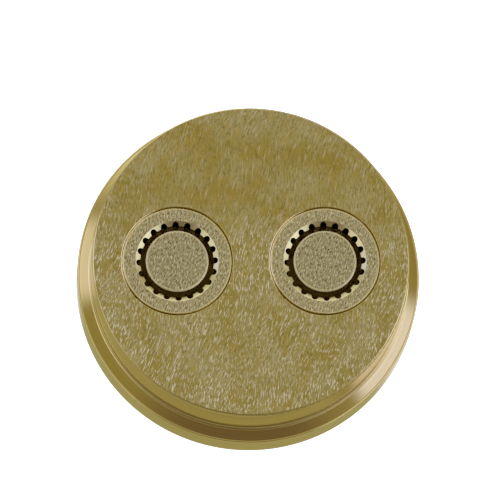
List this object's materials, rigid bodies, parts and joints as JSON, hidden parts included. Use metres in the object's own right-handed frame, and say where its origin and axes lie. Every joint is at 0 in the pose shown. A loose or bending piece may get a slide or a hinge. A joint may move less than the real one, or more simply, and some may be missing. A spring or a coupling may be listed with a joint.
{
  "type": "pasta extrusion die",
  "caption": "Round brass extrusion die with a cone seat and pressed-in inserts; each has a core in a grooved bore, so dough leaves as ribbed, curled tubes.",
  "frame": {"origin": "centre of the back face, where the dough comes in", "axes": "+Z along the die's axis towards the face where the dough leaves, +X along the line through both inserts, +Y away from the viewer"},
  "size_m": [0.057, 0.057, 0.016],
  "materials": {
    "body_brass": "turned wall, coarsely brushed face",
    "sleeve_brass": "finely sanded face, polished countersink",
    "pin_brass": "finely sanded face, turned shank"
  },
  "bodies": {
    "root": {"die_body": "body_brass", "left_sleeve": "sleeve_brass", "right_sleeve": "sleeve_brass", "left_core_pin": "pin_brass", "right_core_pin": "pin_brass"}
  },
  "joints": []
}
